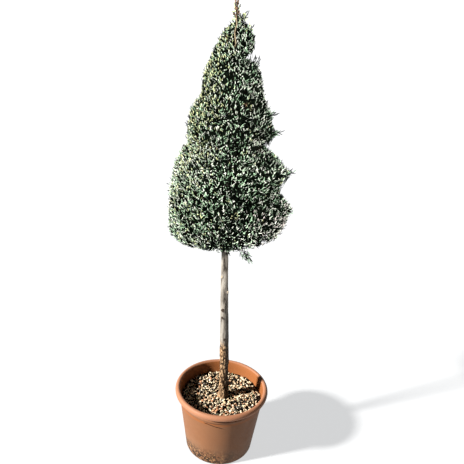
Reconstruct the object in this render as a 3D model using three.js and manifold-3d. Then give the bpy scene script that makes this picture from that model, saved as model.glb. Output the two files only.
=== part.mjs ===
// Potted cypress standard: a clear stem under a clipped cone of blue-green foliage, in a round pot with a
// rolled rim. Millimetres, +Z up. The origin is the middle of the pot's flat underside, and the front is -Y.
import * as THREE from "three";
import { mergeVertices } from "three/addons/utils/BufferGeometryUtils.js";
import Module from "manifold-3d";

const wasm = await Module();
wasm.setup();

const { degToRad, lerp, clamp, smoothstep } = THREE.MathUtils;

// Driving dimensions, in millimetres and degrees
const CLEARANCE = 0.3;

const POT = {
  sides: 40,
  height: 245,
  rimRadius: 160,
  rimWidth: 18,
  rimHeight: 22,
  wallTopRadius: 146,
  baseRadius: 118,
  baseCorner: 9,
  shoulderDrop: 20,
  shoulderStep: 1.6,
  wall: 3.6,
  floor: 5,
  drains: 5,
  drainRadius: 7,
  drainCircle: 74,
};

const SUBSTRATE = { top: 203, relief: 5, rings: 8, flatRadius: 22 };

const TRUNK = {
  sides: 12,
  rings: 26,
  foot: SUBSTRATE.top + CLEARANCE,
  tip: 1480,
  footX: 6,
  headX: -16,
  straightFrom: 900,
  footRadius: 15.7,
  tipRadius: 1.8,
  flare: 3,
  flareLength: 16,
};

// Pruned side shoots left small knots on the clear stem: height, direction and size.
const KNOTS = [
  { height: 676, turn: -130, radius: 4 },
  { height: 622, turn: -40, radius: 4 },
  { height: 545, turn: -112, radius: 5.5 },
  { height: 518, turn: -118, radius: 4 },
  { height: 434, turn: -85, radius: 4.5 },
];
const KNOT_STAND = 3;

// The cone's outline: radius of the foliage about the trunk at each height.
const OUTLINE = [
  [778, 84],
  [802, 134],
  [818, 154],
  [846, 180],
  [910, 195],
  [1015, 187],
  [1080, 162],
  [1102, 132],
  [1136, 148],
  [1195, 128],
  [1245, 102],
  [1295, 97],
  [1345, 77],
  [1392, 57],
  [1428, 34],
];

// Rings of foliage masses from the skirt upwards. A ring starts at a sloping joint: its height at the
// outline and its slope, which rises outwards. Each ring ends at the next one's joint.
const TIERS = [
  { name: "skirt", low: 778, slope: 0.45, masses: 6, turn: -75, hollow: 54, scale: 1 },
  { name: "lower", low: 925, slope: 0.8, masses: 6, turn: -105, hollow: 50, scale: 1 },
  { name: "middle", low: 1094, slope: 0.8, masses: 5, turn: -90, hollow: 36, scale: 0.9 },
  { name: "upper", low: 1238, slope: 0.8, masses: 4, turn: -60, hollow: 0, scale: 0.75 },
  { name: "top", low: 1330, slope: 0.8, masses: 3, turn: -100, hollow: 0, scale: 0.6 },
];
// How many broad sprays, sprigs and hanging sprays each mass of a ring carries.
const GROWTH = {
  skirt: { sprays: 16, sprigs: 3, hanging: 4 },
  lower: { sprays: 18, sprigs: 3, hanging: 0 },
  middle: { sprays: 15, sprigs: 3, hanging: 0 },
  upper: { sprays: 12, sprigs: 2, hanging: 0 },
  top: { sprays: 10, sprigs: 2, hanging: 0 },
};
const CONE_TOP = { low: 1418, slope: 0.8 };
TIERS.forEach((tier, number) => Object.assign(tier, { next: TIERS[number + 1] ?? CONE_TOP }));

// Single side shoots on the bare leader: where each leaves it, where it ends and how far it stands out.
const LEADER_SHOOTS = [
  { name: "right", turn: -20, from: 1414, to: 1456, reach: 30, scale: 0.45 },
  { name: "left", turn: 165, from: 1424, to: 1452, reach: 11, scale: 0.35 },
];

const MASS_GAP = 2.5; // half of the space between neighbouring masses
// How far a mass falls away at its sides, and how far the masses of a ring differ.
const LOBE = { dip: 0.07, spread: 0.06, topSpread: 0.5 };
const CORE = { across: 0.97, share: 0.82, squareness: 7, lumps: 0.1, cuts: [4, 1, 4] };
const BOUGH = { sides: 6, footRadius: 4.8, tipRadius: 3.6, rise: 0.6, stagger: 42, stop: 12 };
const SPRAY = { start: 0.68, climb: 46, lean: 40, width: 24, thickness: 7, across: 0.9, vary: 0.06 };
const SPRIG = { start: 0.42, climb: 52, rootRadius: 2.5, bladeRadius: 6, blade: 0.74, across: 0.8 };
const LEAF = { count: 3, first: 0.64, last: 0.84, length: 46, width: 18, thickness: 6, spread: 62, end: 0.8 };
const TRIMS = [1, 0.8, 0.6, 0.45]; // lengths that the shears leave of a spray
const SLIVER = 0.02; // edges shorter than this are drawn together
const FINEST = [0.5, 0.4, 0.6, 0.3, 0.7]; // foliage detail below one of these sizes is left out
const INNER_CLEAR = 5; // foliage with no hollow inside keeps this far from the trunk

const GOLDEN_TURN = Math.PI * (3 - Math.sqrt(5));
const SPACING_U = 0.7548776662; // steps of an even two-way spread of points
const SPACING_V = 0.569840291;
const SEED = 22;

const MATERIALS = {
  pot: new THREE.MeshStandardMaterial({ color: 0xb9805c, roughness: 0.62, metalness: 0 }),
  substrate: new THREE.MeshStandardMaterial({ color: 0xb09a80, roughness: 0.95, metalness: 0 }),
  bark: new THREE.MeshStandardMaterial({ color: 0x9b8a76, roughness: 0.9, metalness: 0 }),
  foliage: new THREE.MeshStandardMaterial({ color: 0x6f8271, roughness: 0.8, metalness: 0 }),
};

// Seeded random numbers from 0 to 1, so that every run grows the same plant.
function seeded(seed) {
  let state = seed >>> 0;
  return () => {
    state = (Math.imul(state, 1664525) + 1013904223) >>> 0;
    return state / 4294967296;
  };
}

const fraction = (value) => value - Math.floor(value);

// A value between the points of a list of [position, value] pairs.
function along(table, position) {
  const last = table.length - 1;
  if (position <= table[0][0]) return table[0][1];
  if (position >= table[last][0]) return table[last][1];
  const next = table.findIndex(([at]) => at > position);
  const [fromAt, from] = table[next - 1];
  const [toAt, to] = table[next];
  return lerp(from, to, (position - fromAt) / (toAt - fromAt));
}

// Solids: closed geometry to and from the library that joins and cuts

function solidOf(geometry) {
  const bare = geometry.clone();
  bare.deleteAttribute("normal");
  bare.deleteAttribute("uv");
  const merged = mergeVertices(bare, 1e-4);
  const vertProperties = new Float32Array(merged.attributes.position.array);
  const triVerts = new Uint32Array(merged.index.array);
  return new wasm.Manifold(new wasm.Mesh({ numProp: 3, vertProperties, triVerts }));
}

const join = (solids) => solids.reduce((whole, solid) => whole.add(solid));

// The largest body of a solid, with sealed hollows filled and loose scraps dropped.
function wholeBody(solid) {
  const bodies = solid.decompose();
  return bodies.reduce((largest, body) => (body.volume() > largest.volume() ? body : largest));
}

const finished = (solid) => wholeBody(solid).asOriginal().simplify(SLIVER);

// Whether no two corners of a solid fall in one place.
function cornersApart(solid) {
  const { vertProperties } = solid.getMesh();
  const places = new Set();
  for (let corner = 0; corner < vertProperties.length; corner += 3) {
    const place = Array.from(vertProperties.subarray(corner, corner + 3), (value) => value.toFixed(3));
    places.add(place.join(" "));
  }
  return places.size === vertProperties.length / 3;
}

function meshOf(name, solid, material) {
  const { vertProperties, triVerts } = finished(solid).getMesh();
  const geometry = new THREE.BufferGeometry();
  geometry.setAttribute("position", new THREE.BufferAttribute(vertProperties, 3));
  geometry.setIndex(new THREE.BufferAttribute(triVerts, 1));
  geometry.computeVertexNormals();
  const mesh = new THREE.Mesh(geometry, material.clone());
  mesh.name = name;
  return mesh;
}

// Basic shapes

// A tapering limb with a ring of corners at each centre. A radius of 0 makes a point there.
function limb(centres, radii, sides, axis) {
  const forward = (axis ?? centres.at(-1).clone().sub(centres[0])).clone().normalize();
  const { across, over } = frameAbout(forward);
  const positions = [];
  const index = [];
  const rings = centres.map((centre, ring) => {
    const count = radii[ring] > 0 ? sides : 1;
    const first = positions.length / 3;
    for (let corner = 0; corner < count; corner += 1) {
      const turn = (2 * Math.PI * corner) / sides;
      const point = centre
        .clone()
        .addScaledVector(across, radii[ring] * Math.cos(turn))
        .addScaledVector(over, radii[ring] * Math.sin(turn));
      positions.push(point.x, point.y, point.z);
    }
    return { first, count };
  });
  const corner = (ring, number) => ring.first + (number % ring.count);
  for (let step = 0; step + 1 < rings.length; step += 1) {
    const [low, high] = [rings[step], rings[step + 1]];
    for (let side = 0; side < sides; side += 1) {
      if (low.count > 1) index.push(corner(low, side), corner(low, side + 1), corner(high, side + 1));
      if (high.count > 1) index.push(corner(low, side), corner(high, side + 1), corner(high, side));
    }
  }
  const [foot, head] = [rings[0], rings.at(-1)];
  for (let side = 1; side + 1 < sides; side += 1) {
    if (foot.count > 1) index.push(foot.first, foot.first + side + 1, foot.first + side);
    if (head.count > 1) index.push(head.first, head.first + side, head.first + side + 1);
  }
  const geometry = new THREE.BufferGeometry();
  geometry.setAttribute("position", new THREE.Float32BufferAttribute(positions, 3));
  return geometry.setIndex(index);
}

function cornersOf(geometry) {
  const place = geometry.getAttribute("position");
  const at = (_, corner) => new THREE.Vector3().fromBufferAttribute(place, corner);
  return Array.from({ length: place.count }, at);
}

// Two directions square to a given one and to each other.
function frameAbout(forward) {
  const helper = Math.abs(forward.z) > 0.9 ? new THREE.Vector3(1, 0, 0) : new THREE.Vector3(0, 0, 1);
  const across = helper.cross(forward).normalize();
  const over = forward.clone().cross(across);
  return { across, over };
}

// A flat leaf spray of eight faces, pointed at both ends and widest near its root.
function leafSpray(root, forward, flat, length, { width, thickness }, scale) {
  const side = forward.clone().cross(flat).normalize().multiplyScalar((width * scale) / 2);
  const face = flat.clone().multiplyScalar((thickness * scale) / 2);
  const sunk = root.clone().addScaledVector(forward, -0.08 * length);
  const middle = root.clone().addScaledVector(forward, 0.45 * length);
  const tip = root.clone().addScaledVector(forward, length);
  const waist = [side, face, side.clone().negate(), face.clone().negate()];
  const corners = [sunk, ...waist.map((offset) => middle.clone().add(offset)), tip];
  const geometry = new THREE.BufferGeometry().setFromPoints(corners);
  const index = [];
  for (let corner = 0; corner < 4; corner += 1) {
    const here = 1 + corner;
    const next = 1 + ((corner + 1) % 4);
    index.push(0, here, next, 5, next, here);
  }
  return geometry.setIndex(index);
}

// Pot and growing medium

function potWallRadius(height) {
  const wallHeight = POT.height - POT.rimHeight - POT.baseCorner;
  return lerp(POT.baseRadius, POT.wallTopRadius, (height - POT.baseCorner) / wallHeight);
}

const potInnerRadius = (height) => potWallRadius(height) - POT.wall;

function arcPoints(centreX, centreY, radiusX, radiusY, fromDegrees, toDegrees, steps) {
  return Array.from({ length: steps + 1 }, (_, step) => {
    const turn = degToRad(lerp(fromDegrees, toDegrees, step / steps));
    return new THREE.Vector2(centreX + radiusX * Math.cos(turn), centreY + radiusY * Math.sin(turn));
  });
}

function turned(profile) {
  const geometry = new THREE.LatheGeometry(profile, POT.sides);
  return geometry.rotateX(Math.PI / 2);
}

function potSolid() {
  const corner = POT.baseCorner;
  const underRim = POT.height - POT.rimHeight;
  const shoulder = underRim - POT.shoulderDrop;
  const rimMiddle = POT.rimRadius - POT.rimWidth / 2;
  const [halfWide, halfHigh] = [POT.rimWidth / 2, POT.rimHeight / 2];
  const profile = [
    new THREE.Vector2(0, 0),
    ...arcPoints(POT.baseRadius - corner, corner, corner, corner, -90, 0, 3),
    new THREE.Vector2(potWallRadius(shoulder), shoulder),
    new THREE.Vector2(potWallRadius(shoulder) + POT.shoulderStep, shoulder + POT.shoulderStep),
    new THREE.Vector2(POT.wallTopRadius + POT.shoulderStep, underRim + 1),
    ...arcPoints(rimMiddle, underRim + halfHigh, halfWide, halfHigh, -90, 150, 6),
    new THREE.Vector2(potInnerRadius(underRim), underRim),
    new THREE.Vector2(potInnerRadius(POT.floor), POT.floor),
    new THREE.Vector2(0, POT.floor),
  ];
  const drains = Array.from({ length: POT.drains }, (_, number) => {
    const turn = (2 * Math.PI * (number + 0.5)) / POT.drains;
    const drain = new THREE.CylinderGeometry(POT.drainRadius, POT.drainRadius, 4 * POT.floor, 8);
    drain.rotateX(Math.PI / 2);
    drain.translate(POT.drainCircle * Math.cos(turn), POT.drainCircle * Math.sin(turn), 0);
    return solidOf(drain);
  });
  return solidOf(turned(profile)).subtract(join(drains));
}

// The filled pot's growing medium, with a rough top of gravel that is flat only under the trunk.
function substrateSolid() {
  const random = seeded(SEED);
  const bottom = POT.floor + CLEARANCE;
  const edge = potInnerRadius(SUBSTRATE.top - SUBSTRATE.relief) - CLEARANCE;
  const inward = Array.from({ length: SUBSTRATE.rings }, (_, ring) => {
    const radius = lerp(edge, SUBSTRATE.flatRadius, (ring + 1) / SUBSTRATE.rings);
    return new THREE.Vector2(radius, SUBSTRATE.top);
  });
  const profile = [
    new THREE.Vector2(0, bottom),
    new THREE.Vector2(potInnerRadius(bottom) - CLEARANCE, bottom),
    new THREE.Vector2(edge, SUBSTRATE.top - SUBSTRATE.relief),
    ...inward,
    new THREE.Vector2(0, SUBSTRATE.top),
  ];
  const geometry = turned(profile);
  const place = geometry.getAttribute("position");
  const heights = new Map();
  for (let corner = 0; corner < place.count; corner += 1) {
    const ring = (corner % profile.length) - 3;
    const column = Math.floor(corner / profile.length) % POT.sides;
    if (ring < 0 || ring >= SUBSTRATE.rings - 1) continue;
    const key = ring * POT.sides + column;
    if (!heights.has(key)) heights.set(key, SUBSTRATE.top + SUBSTRATE.relief * (random() - 0.6));
    place.setZ(corner, heights.get(key));
  }
  return solidOf(geometry);
}

// Trunk: one stem from the flat cut at the gravel to the bare leader's tip

function trunkX(height) {
  const lean = smoothstep(height, TRUNK.foot, TRUNK.straightFrom);
  return lerp(TRUNK.footX, TRUNK.headX, lean);
}

function trunkRadius(height) {
  const taper = lerp(TRUNK.footRadius, TRUNK.tipRadius, (height - TRUNK.foot) / (TRUNK.tip - TRUNK.foot));
  return taper + TRUNK.flare * Math.exp((TRUNK.foot - height) / TRUNK.flareLength);
}

// The stem's own solid, or with extra radius the space that its neighbours keep clear of.
function stemSolid(extra) {
  const up = new THREE.Vector3(0, 0, 1);
  const heights = Array.from({ length: TRUNK.rings + 1 }, (_, ring) => {
    const share = ring / TRUNK.rings;
    return lerp(TRUNK.foot, TRUNK.tip, share * lerp(0.55, 1, share));
  });
  const centres = heights.map((height) => new THREE.Vector3(trunkX(height), 0, height));
  const radii = heights.map((height) => trunkRadius(height) + extra);
  return solidOf(limb(centres, radii, TRUNK.sides, up));
}

function knotSolid({ height, turn, radius }) {
  const outward = new THREE.Vector3(Math.cos(degToRad(turn)), Math.sin(degToRad(turn)), 0.3).normalize();
  const centre = new THREE.Vector3(trunkX(height), 0, height);
  const face = centre.clone().addScaledVector(outward, trunkRadius(height) + KNOT_STAND);
  return solidOf(limb([centre, face], [radius * 1.5, radius], 6));
}

// Foliage masses: each keeps to its own space round the trunk

const reach = (height) => along(OUTLINE, height);

function crownPoint(turn, radius, height) {
  return new THREE.Vector3(trunkX(height) + radius * Math.cos(turn), radius * Math.sin(turn), height);
}

// The space of one mass: a sector of its ring between two sloping joints.
function spaceOf(tier, number) {
  const half = Math.PI / tier.masses;
  const middle = degToRad(tier.turn) + 2 * half * number;
  const spread = tier.next === CONE_TOP ? LOBE.topSpread : LOBE.spread;
  const lobe = 1 + spread * (fraction((number + 1) * GOLDEN_TURN) - 0.5);
  const inner = tier.hollow || trunkRadius(tier.low) + INNER_CLEAR;
  const joint = ({ low, slope }, radius) => low - slope * (reach(low) - radius);
  const under = (radius) => joint(tier, radius) + MASS_GAP;
  const over = (radius) => joint(tier.next, radius) - MASS_GAP;
  const outer = (turn, height) => {
    const aside = Math.min(1, Math.abs(turn - middle) / half);
    return reach(clamp(height, tier.low, tier.next.low)) * lobe * (1 - LOBE.dip * aside ** 3);
  };
  const holds = (point) => {
    const [x, y] = [point.x - trunkX(point.z), point.y];
    const radius = Math.hypot(x, y);
    const aside = Math.atan2(y, x) - middle;
    const offMiddle = Math.atan2(Math.sin(aside), Math.cos(aside));
    const toSide = radius * Math.sin(half - Math.abs(offMiddle));
    const inRing = point.z > under(radius) && point.z < over(radius);
    return inRing && toSide > MASS_GAP && radius > inner && radius <= outer(middle + offMiddle, point.z) + 1;
  };
  // A point at shares of the width, of the way out to part of the outline, and of the ring's height.
  const within = (aside, share, depth, rise) => {
    const turn = middle + half * aside;
    let radius = lerp(inner, share * reach(tier.low), depth);
    let height = tier.low;
    for (let round = 0; round < 12; round += 1) {
      height = lerp(height, lerp(under(radius), over(radius), rise), 0.7);
      radius = lerp(inner, share * outer(turn, height), depth);
    }
    return crownPoint(turn, radius, height);
  };
  return { middle, half, inner, under, over, outer, holds, within };
}

// A dense block of twigs that fills most of a mass, with rounded edges and an uneven face.
function coreSolid(space, random) {
  const geometry = new THREE.BoxGeometry(2, 2, 2, ...CORE.cuts);
  geometry.deleteAttribute("normal");
  geometry.deleteAttribute("uv");
  const merged = mergeVertices(geometry, 1e-4);
  const place = merged.getAttribute("position");
  for (let corner = 0; corner < place.count; corner += 1) {
    const way = new THREE.Vector3().fromBufferAttribute(place, corner);
    const sum = way.toArray().reduce((total, part) => total + Math.abs(part) ** CORE.squareness, 0);
    way.multiplyScalar(1 / sum ** (1 / CORE.squareness));
    const share = CORE.share * (1 - CORE.lumps * random());
    const point = space.within(CORE.across * way.x, share, (1 + way.y) / 2, (1 + way.z) / 2);
    place.setXYZ(corner, point.x, point.y, point.z);
  }
  const solid = solidOf(merged);
  return solid.volume() > 0 ? solid : solidOf(flipped(merged));
}

function flipped(geometry) {
  const turned = geometry.clone();
  const order = Array.from(geometry.index.array);
  for (let face = 0; face < order.length; face += 3) {
    [order[face], order[face + 1]] = [order[face + 1], order[face]];
  }
  return turned.setIndex(order);
}

// The longest form of a spray that stays in its mass's space, if any does.
function trimmed(grow, holds) {
  return TRIMS.map(grow).find((leaf) => cornersOf(leaf).slice(1).every(holds));
}

// One sprig: a three-sided twig with leaf sprays set round it by the golden angle. The shears have shortened
// a spray that would leave the mass's space. One that still leaves it is skipped, and so is a sprig.
function sprigSolids(root, tip, scale, holds, random) {
  if (!holds(tip)) return [];
  const forward = tip.clone().sub(root);
  const length = forward.length();
  forward.normalize();
  const { across, over } = frameAbout(forward);
  const blade = root.clone().lerp(tip, SPRIG.blade);
  const radii = [SPRIG.rootRadius * scale, SPRIG.bladeRadius * scale, 0];
  const pieces = [solidOf(limb([root, blade, tip], radii, 3))];
  const firstTurn = 2 * Math.PI * random();
  for (let number = 0; number < LEAF.count; number += 1) {
    const share = number / (LEAF.count - 1);
    const turn = firstTurn + number * GOLDEN_TURN;
    const aside = across.clone().multiplyScalar(Math.cos(turn)).addScaledVector(over, Math.sin(turn));
    const spread = degToRad(LEAF.spread * lerp(1.1, 0.8, share));
    const heading = forward.clone().multiplyScalar(Math.cos(spread)).addScaledVector(aside, Math.sin(spread));
    const flat = heading.clone().cross(forward).cross(heading).normalize();
    const start = root.clone().addScaledVector(forward, length * lerp(LEAF.first, LEAF.last, share));
    const fullLength = LEAF.length * scale * lerp(1, LEAF.end, share);
    const spray = trimmed((trim) => leafSpray(start, heading, flat, trim * fullLength, LEAF, scale), holds);
    if (spray) pieces.push(solidOf(spray));
  }
  return pieces;
}

// An even spread of places over a mass's outer face, as direction and height.
function facePlaces(tier, space, count, across, first) {
  return Array.from({ length: count }, (_, number) => {
    const u = fraction(first + SPACING_U * number);
    const v = fraction(first + SPACING_V * number);
    const turn = space.middle + across * space.half * (2 * u - 1);
    return { turn, height: lerp(tier.low, tier.next.low, v) };
  });
}

// Broad sprays, flat side outwards, that lie over the core like shingles and end at the outline, and under
// the skirt hang down to its lower joint.
function coverSolids(tier, space, random) {
  const growth = GROWTH[tier.name];
  const rising = facePlaces(tier, space, growth.sprays, SPRAY.across, 0.5).map(({ turn, height }) => {
    const radius = space.outer(turn, height) * (1 - SPRAY.vary * random());
    const lean = (SPRAY.lean * tier.scale * (random() - 0.5)) / radius;
    const tip = crownPoint(turn + lean, radius, height);
    return { turn, rootAt: SPRAY.start, drop: SPRAY.climb, tip, radius };
  });
  const count = growth.hanging;
  const hanging = facePlaces(tier, space, count, SPRAY.across, 0.8).map(({ turn }, number) => {
    const furthest = 0.86 * space.outer(turn, tier.next.low);
    const radius = lerp(space.inner + 16, furthest, (number + 0.5) / count);
    const tip = crownPoint(turn, radius, space.under(radius) + 2);
    return { turn, rootAt: 0.9, drop: -SPRAY.climb, tip, radius };
  });
  const sprays = [...rising, ...hanging].map(({ turn, rootAt, drop, tip, radius }) => {
    const rootRadius = lerp(space.inner, rootAt * radius, 0.9);
    const [low, high] = [space.under(rootRadius) + 12, space.over(rootRadius) - 12];
    const root = crownPoint(turn, rootRadius, clamp(tip.z - drop * tier.scale, low, high));
    const heading = tip.clone().sub(root);
    const length = heading.length();
    heading.normalize();
    const outward = new THREE.Vector3(Math.cos(turn), Math.sin(turn), 0);
    const flat = outward.addScaledVector(heading, -outward.dot(heading)).normalize();
    return trimmed((trim) => leafSpray(root, heading, flat, trim * length, SPRAY, tier.scale), space.holds);
  });
  return sprays.filter(Boolean).map(solidOf);
}

// Sprigs that stand out of the cover.
function sprigsOf(tier, space, random) {
  const places = facePlaces(tier, space, GROWTH[tier.name].sprigs, SPRIG.across, 0.24);
  return places.flatMap(({ turn, height }) => {
    const radius = space.outer(turn, height);
    const rootRadius = lerp(space.inner, radius, SPRIG.start);
    const [low, high] = [space.under(rootRadius) + 12, space.over(rootRadius) - 12];
    const root = crownPoint(turn, rootRadius, clamp(height - SPRIG.climb * tier.scale, low, high));
    return sprigSolids(root, crownPoint(turn, radius, height), tier.scale, space.holds, random);
  });
}

// A bough's line from inside the trunk to its tip, and on to the middle of the mass that it carries.
// Neighbouring boughs leave the trunk at different heights.
function boughLine(tier, number, space) {
  const middleRadius = lerp(space.inner, space.outer(space.middle, 0), 0.35);
  const middleHeight = (space.under(middleRadius) + space.over(middleRadius)) / 2;
  const heart = crownPoint(space.middle, middleRadius, middleHeight);
  const lift = ((2 * number) % tier.masses) / tier.masses - 0.5;
  const footHeight = middleHeight - BOUGH.rise * middleRadius + BOUGH.stagger * lift;
  const foot = new THREE.Vector3(trunkX(footHeight), 0, footHeight);
  const forward = heart.clone().sub(foot).normalize();
  const stop = (space.inner - BOUGH.stop) / Math.hypot(forward.x, forward.y);
  return { foot, forward, heart, tip: foot.clone().addScaledVector(forward, stop) };
}

// A mass on its stem, clear of the trunk, at the first detail limit that leaves all its corners apart.
function massSolid(body, stem, trunkSpace) {
  const forms = FINEST.map((limit) => finished(body.simplify(limit).add(stem).subtract(trunkSpace)));
  return forms.find(cornersApart) ?? forms[0];
}

function tierMeshes(tier, trunkSpace) {
  const meshes = [];
  for (let number = 0; number < tier.masses; number += 1) {
    const random = seeded(SEED + 97 * number + tier.low);
    const space = spaceOf(tier, number);
    const line = boughLine(tier, number, space);
    const stemFoot = tier.hollow ? line.tip.clone().addScaledVector(line.forward, CLEARANCE) : line.foot;
    const stemRadius = tier.hollow ? BOUGH.tipRadius : BOUGH.tipRadius * 0.8;
    const stem = solidOf(limb([stemFoot, line.heart], [stemRadius, stemRadius * 0.8], BOUGH.sides));
    const cover = [...coverSolids(tier, space, random), ...sprigsOf(tier, space, random)];
    const body = join([coreSolid(space, random), ...cover]);
    const mass = massSolid(wholeBody(body).asOriginal(), stem, trunkSpace);
    meshes.push(meshOf(`foliage_${tier.name}_${number + 1}`, mass, MATERIALS.foliage));
    if (!tier.hollow) continue;
    const bough = solidOf(limb([line.foot, line.tip], [BOUGH.footRadius, BOUGH.tipRadius], BOUGH.sides));
    meshes.push(meshOf(`bough_${tier.name}_${number + 1}`, bough.subtract(trunkSpace), MATERIALS.bark));
  }
  return meshes;
}

function leaderShootMesh({ name, turn, from, to, reach: out, scale }, trunkSpace) {
  const random = seeded(SEED + from);
  const root = crownPoint(0, 0, from);
  const tip = crownPoint(degToRad(turn), out, to);
  const shoot = join(sprigSolids(root, tip, scale, () => true, random));
  return meshOf(`foliage_leader_${name}`, shoot.subtract(trunkSpace), MATERIALS.foliage);
}

// The whole plant

const plant = new THREE.Group();
const trunkSpace = stemSolid(CLEARANCE);
plant.add(meshOf("pot", potSolid(), MATERIALS.pot));
plant.add(meshOf("substrate", substrateSolid(), MATERIALS.substrate));
plant.add(meshOf("trunk", join([stemSolid(0), ...KNOTS.map(knotSolid)]), MATERIALS.bark));
for (const tier of TIERS) plant.add(...tierMeshes(tier, trunkSpace));
for (const shoot of LEADER_SHOOTS) plant.add(leaderShootMesh(shoot, trunkSpace));

export default plant;
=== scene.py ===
"""An Arizona cypress clipped to a cone on a clear stem, in a round plastic pot topped with gravel.

Shapes are in millimetres until a mesh is made, and paint is laid on in metres. +Z is up and the
front of the plant faces -Y. A turn goes anticlockwise from the plant's right, +X.
"""

import math
from itertools import combinations
from types import SimpleNamespace

import bpy
import numpy as np
from mathutils import Matrix, Vector


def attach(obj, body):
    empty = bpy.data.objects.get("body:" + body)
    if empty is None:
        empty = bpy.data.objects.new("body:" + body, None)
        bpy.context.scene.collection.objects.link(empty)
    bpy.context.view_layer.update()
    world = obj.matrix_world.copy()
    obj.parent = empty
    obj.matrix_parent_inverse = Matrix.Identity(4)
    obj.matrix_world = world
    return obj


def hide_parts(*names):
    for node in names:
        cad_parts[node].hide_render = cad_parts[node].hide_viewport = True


MM = 0.001
FULL_TURN = 2 * math.pi
FRONT = -math.pi / 2
GOLDEN_RATIO = (1 + math.sqrt(5)) / 2
GOLDEN_TURN = math.pi * (3 - math.sqrt(5))
SPACING_U, SPACING_V = 0.7548776662, 0.569840291  # steps of an even two-way spread of points
RANDOM = np.random.default_rng(22)

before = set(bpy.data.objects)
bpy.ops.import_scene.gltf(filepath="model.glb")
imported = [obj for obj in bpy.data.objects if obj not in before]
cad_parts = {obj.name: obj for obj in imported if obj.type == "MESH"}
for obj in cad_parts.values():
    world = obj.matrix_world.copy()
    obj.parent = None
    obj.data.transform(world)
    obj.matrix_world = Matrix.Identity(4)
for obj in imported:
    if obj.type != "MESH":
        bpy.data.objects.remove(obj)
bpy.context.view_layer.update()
FOLIAGE_NODES = [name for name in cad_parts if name.startswith("foliage_")]
BOUGH_NODES = [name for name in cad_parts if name.startswith("bough_")]

# Pot, from the CAD source.
POT_SIDES = 240
POT_HEIGHT = 245
POT_RIM_RADIUS, POT_RIM_WIDTH, POT_RIM_HEIGHT = 160, 18, 22
POT_WALL_TOP, POT_BASE, POT_CORNER = 146, 118, 9
POT_SHOULDER_DROP, POT_SHOULDER_STEP = 20, 1.6
POT_WALL, POT_FLOOR = 3.6, 5
POT_CENTRE, POT_FLAT = 0.5, 60  # radii of the first ring and of the flat middle
# A fold in the wall: turn in degrees and height of its ends, half width and depth.
CREASE = ((-110, 198), (-82, 181))
CREASE_HALF, CREASE_DEPTH = 1.7, 3
CREASE_FALL = 0.2485  # how far the fold falls for each step to the right

# Gravel on soil.
GRAVEL_TOP = 203
SOIL_RINGS, SOIL_SIDES = 26, 120
SOIL_GRAIN, SOIL_RELIEF, SOIL_DEPTH = 14, 5, 30
CHIPS = 1200
# Kinds of chip: base colour and share.
CHIP_KINDS = {
    "cream": ((0.60, 0.495, 0.345), 0.46),
    "beige": ((0.38, 0.275, 0.165), 0.23),
    "pink": ((0.40, 0.20, 0.105), 0.12),
    "grey": ((0.13, 0.12, 0.105), 0.08),
    "moss": ((0.17, 0.17, 0.10), 0.05),
    "dark": ((0.010, 0.008, 0.006), 0.10),
}
# A patch in front with more pink chips: its middle, radius and the share turned pink.
PINK_X, PINK_Y, PINK_RADIUS, PINK_SHARE = 5, -85, 38, 0.3

# Trunk, from the CAD source.
TRUNK_SIDES = 80
TRUNK_FOOT, TRUNK_TIP = 203.3, 1480
TRUNK_FOOT_X, TRUNK_HEAD_X, TRUNK_STRAIGHT_FROM = 6, -16, 900
TRUNK_FOOT_RADIUS, TRUNK_TIP_RADIUS = 15.7, 1.8
TRUNK_FLARE, TRUNK_FLARE_LENGTH = 3, 16
BARK_THICKNESS = 1.1
# Pruning scars: height, turn in degrees, radius, and whether the wood inside has gone dark.
KNOTS = [
    (676, -130, 4, False), (622, -40, 4, False), (556, -112, 5.5, True),
    (528, -118, 4, True), (446, -88, 4.5, True),
]
# A scar's section: share of its radius, and how far it stands off the trunk.
KNOT_PROFILE = [(0.9, 0.0), (0.95, 3.2), (0.78, 4.2), (0.6, 3.7), (0.35, 3.1), (0.05, 3.3)]
KNOT_SIDES = 18

# Foliage: rings of masses, from the CAD source. Height at the outline and slope of the joint under each
# ring, number of masses, turn of the first in degrees, inner radius.
TIERS = [
    (778, 0.45, 6, -75, 54),  # skirt
    (925, 0.8, 6, -105, 50),  # lower
    (1094, 0.8, 5, -90, 36),  # middle
    (1238, 0.8, 4, -60, 5),  # upper
    (1330, 0.8, 3, -100, 5),  # top
    (1424, 0.8, 0, 0, 0),  # end of the top ring
]
# How far the foliage reaches from the trunk line at each height, on the plant's left and right.
REACH = [
    (750, 30, 60), (780, 110, 114), (805, 142, 148), (830, 166, 166), (860, 173, 180),
    (920, 169, 194), (960, 174, 160), (985, 164, 154), (1015, 162, 178), (1035, 160, 176),
    (1080, 140, 134), (1094, 112, 114), (1110, 114, 98), (1135, 126, 132), (1175, 120, 116),
    (1195, 118, 116), (1240, 84, 92), (1300, 84, 80), (1322, 74, 66), (1338, 68, 18),
    (1354, 60, 50), (1405, 32, 50), (1430, 5, 16),
]
LEVELS, LEFT_REACH, RIGHT_REACH = np.array(REACH).T
MEAN_REACH = (LEFT_REACH + RIGHT_REACH) / 2
EVEN_SHIFTS = (-40, -20, 0, 20, 40)  # heights averaged for the swell of front and back
# The crown's lower face: height and radius of its rim, and its slope.
UNDERSIDE_HEIGHT, UNDERSIDE_RADIUS, UNDERSIDE_SLOPE = 822, 140, 0.36
UNDERSIDE_SPRAYS = 640

# Limbs: points of a bough, side limbs of a mass, and radii.
BOUGH_POINTS, SIDE_LIMBS = 6, 7
BOUGH_RISE = 0.6
THICK_BOUGH, THIN_BOUGH = 4.6, 3.2
LIMB_RADII, TWIG_RADII = (2.4, 2.1, 1.8, 1.3), (1.7, 1.4, 1.0)
SHOOT_POINTS = 19

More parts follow.
